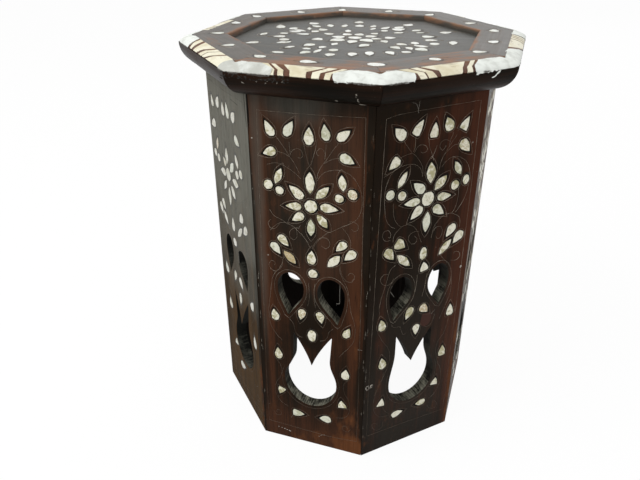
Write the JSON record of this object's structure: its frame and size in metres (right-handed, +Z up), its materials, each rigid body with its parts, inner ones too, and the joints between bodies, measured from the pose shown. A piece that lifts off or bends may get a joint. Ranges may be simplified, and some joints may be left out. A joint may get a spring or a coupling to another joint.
{
  "type": "moroccan kursi stool",
  "caption": "Eight-sided inlaid wooden stool with a shallow tray top, a rounded edge moulding and sides pierced with drop and tulip shapes.",
  "frame": {"origin": "on the ground under the middle of the stool", "axes": "+Z up along the stool's height; side panel 1 faces -Y and the others follow anticlockwise seen from above"},
  "size_m": [0.3602, 0.3602, 0.48],
  "materials": {
    "dark_wood": "worn semi-gloss dark reddish brown",
    "top_wood": "worn semi-gloss grey-brown",
    "moulding_wood": "semi-gloss near-black brown",
    "inner_wood": "raw sawn",
    "bone": null,
    "white_filler": null
  },
  "bodies": {
    "root": {"field_board": "top_wood", "side_panel_1": "dark_wood", "edge_moulding_1": "moulding_wood", "rim_board_1": "top_wood", "bone_strip_1": "bone", "corner_cap_1": "white_filler", "corner_block_1": "inner_wood", "side_panel_2": "dark_wood", "edge_moulding_2": "moulding_wood", "rim_board_2": "top_wood", "bone_strip_2": "bone", "corner_cap_2": "white_filler", "corner_block_2": "inner_wood", "side_panel_3": "dark_wood", "edge_moulding_3": "moulding_wood", "rim_board_3": "top_wood", "bone_strip_3": "bone", "corner_cap_3": "white_filler", "corner_block_3": "inner_wood", "side_panel_4": "dark_wood", "edge_moulding_4": "moulding_wood", "rim_board_4": "top_wood", "bone_strip_4": "bone", "corner_cap_4": "white_filler", "corner_block_4": "inner_wood", "side_panel_5": "dark_wood", "edge_moulding_5": "moulding_wood", "rim_board_5": "top_wood", "bone_strip_5": "bone", "corner_cap_5": "white_filler", "corner_block_5": "inner_wood", "side_panel_6": "dark_wood", "edge_moulding_6": "moulding_wood", "rim_board_6": "top_wood", "bone_strip_6": "bone", "corner_cap_6": "white_filler", "corner_block_6": "inner_wood", "side_panel_7": "dark_wood", "edge_moulding_7": "moulding_wood", "rim_board_7": "top_wood", "bone_strip_7": "bone", "corner_cap_7": "white_filler", "corner_block_7": "inner_wood", "side_panel_8": "dark_wood", "edge_moulding_8": "moulding_wood", "rim_board_8": "top_wood", "bone_strip_8": "bone", "corner_cap_8": "white_filler", "corner_block_8": "inner_wood", "top_cleat_1": "inner_wood", "top_cleat_2": "inner_wood", "top_cleat_3": "inner_wood", "top_cleat_4": "inner_wood"}
  },
  "joints": []
}
